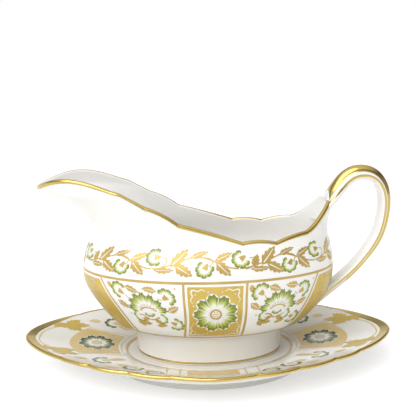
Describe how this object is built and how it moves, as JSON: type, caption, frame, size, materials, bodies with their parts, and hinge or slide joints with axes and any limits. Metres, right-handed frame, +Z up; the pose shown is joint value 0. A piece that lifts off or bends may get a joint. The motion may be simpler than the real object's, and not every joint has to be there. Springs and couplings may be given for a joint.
{
  "type": "gravy boat",
  "caption": "Oval china gravy boat with a pouring lip and a high loop handle, standing in the well of its own scalloped oval stand",
  "frame": {"origin": "on the table plane, under the middle of the stand", "axes": "+X from the spout towards the handle, +Y across, +Z up"},
  "size_m": [0.22, 0.1388, 0.1171],
  "materials": {
    "white_china": "clear glossy glaze over warm white bone china",
    "gilding": "bright burnished gold fired on the glaze",
    "green_enamel": "glossy green on-glaze enamel, feathered to white"
  },
  "bodies": {
    "stand": {"stand_dish": "white_china", "stand_foot_ring": "white_china"},
    "boat": {"boat_body": "white_china", "boat_foot": "white_china", "boat_handle": "white_china"}
  },
  "joints": [
    {"name": "boat_lift", "type": "slide", "parent": "stand", "child": "boat", "axis": [0, 0, 1], "range_m": [0, 0.06]}
  ]
}
